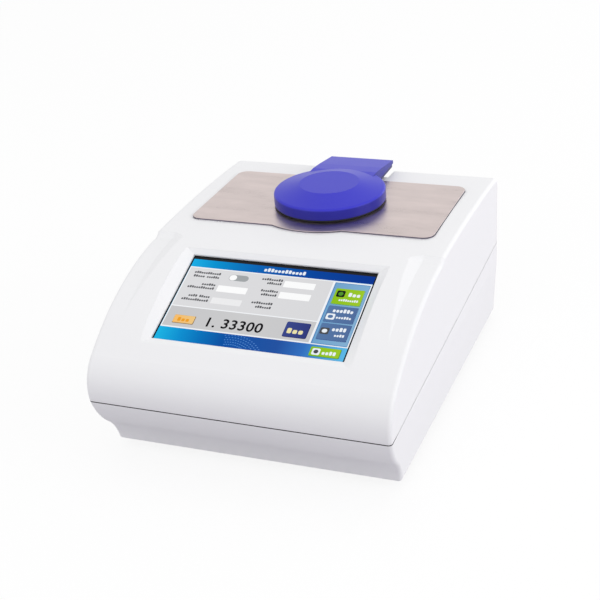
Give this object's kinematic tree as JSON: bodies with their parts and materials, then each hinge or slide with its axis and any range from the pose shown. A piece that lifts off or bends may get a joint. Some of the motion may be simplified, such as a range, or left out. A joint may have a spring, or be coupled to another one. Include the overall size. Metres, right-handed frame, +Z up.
{
  "type": "digital bench refractometer",
  "caption": "Low white bench instrument with a sloping touch screen, a steel work surface and a round hinged lid over a sample dish with a prism.",
  "frame": {"origin": "on the floor under the middle of the housing", "axes": "+X to the right as seen from the front, +Y from the nose to the rear wall, +Z up"},
  "size_m": [0.2456, 0.313, 0.1572],
  "materials": {
    "white_housing": "fine moulded texture",
    "rubber_black": "matte",
    "work_surface": "brushed lengthwise",
    "stainless": "satin to polished",
    "optical_glass": "polished",
    "screen_glass": "polished, backed by the display",
    "lid_blue": "satin",
    "lid_liner": "matte",
    "display_dark": "satin",
    "sheet_metal": "bare sheet",
    "dark_anodised": "anodised",
    "black_plastic": "moulded",
    "board_green": "solder mask",
    "board_parts": "moulded",
    "ceramic": "fired",
    "magnet_nickel": "plated",
    "pin_brass": "plated contact",
    "screw_steel": "zinc",
    "white_insert": "moulded"
  },
  "bodies": {
    "housing": {"base_shell": "white_housing", "top_cover": "white_housing", "foot_front_left": "rubber_black", "foot_front_right": "rubber_black", "foot_rear_left": "rubber_black", "foot_rear_right": "rubber_black", "prism_seal": "rubber_black", "deck_plate": "work_surface", "sample_dish": "stainless", "hinge_pin": "stainless", "hinge_bracket": "stainless", "temperature_probe": "stainless", "prism": "optical_glass", "collimator_lens": "optical_glass", "objective_lens": "optical_glass", "led_lamp": "optical_glass", "touch_glass": "screen_glass", "lcd_module": "display_dark", "display_frame": "sheet_metal", "power_supply": "sheet_metal", "usb_socket": "sheet_metal", "network_socket": "sheet_metal", "serial_socket": "sheet_metal", "heat_sink": "sheet_metal", "rear_panel": "sheet_metal", "optics_block": "dark_anodised", "led_holder": "dark_anodised", "sensor_housing": "dark_anodised", "mains_inlet": "black_plastic", "fuse_holder": "black_plastic", "switch_frame": "black_plastic", "fan_frame": "black_plastic", "main_board": "board_green", "sensor_board": "board_green", "board_parts": "board_parts", "line_sensor": "board_parts", "peltier_module": "ceramic", "deck_magnet": "magnet_nickel", "inlet_pins": "pin_brass", "serial_pins": "pin_brass", "foot_screws": "screw_steel", "cover_screws": "screw_steel", "dish_screws": "screw_steel", "display_screws": "screw_steel", "fan_screws": "screw_steel", "rear_panel_screws": "screw_steel", "hinge_screws": "screw_steel", "board_standoffs": "screw_steel", "optics_pillars": "screw_steel", "usb_tongue": "white_insert"},
    "lid": {"lid_shell": "lid_blue", "lid_base": "lid_liner", "lid_gasket": "rubber_black", "lid_presser": "rubber_black", "lid_magnet": "magnet_nickel"},
    "rocker": {"power_rocker": "black_plastic"},
    "rotor": {"fan_rotor": "black_plastic"},
    "drawer": {"fuse_drawer": "black_plastic", "fuse": "optical_glass"}
  },
  "joints": [
    {"name": "lid_hinge", "type": "hinge", "parent": "housing", "child": "lid", "pos_m": [0, 0.145, 0.1395], "axis": [-1, 0, 0], "range_deg": [0, 100]},
    {"name": "rocker_pivot", "type": "hinge", "parent": "housing", "child": "rocker", "pos_m": [-0.04, 0.1506, 0.041], "axis": [1, 0, 0], "range_deg": [0, 16]},
    {"name": "fan_spin", "type": "hinge", "parent": "housing", "child": "rotor", "pos_m": [0, 0.1445, 0.041], "axis": [0, 1, 0], "continuous": true},
    {"name": "fuse_drawer_slide", "type": "slide", "parent": "housing", "child": "drawer", "axis": [0, 1, 0], "range_m": [0, 0.012]}
  ]
}
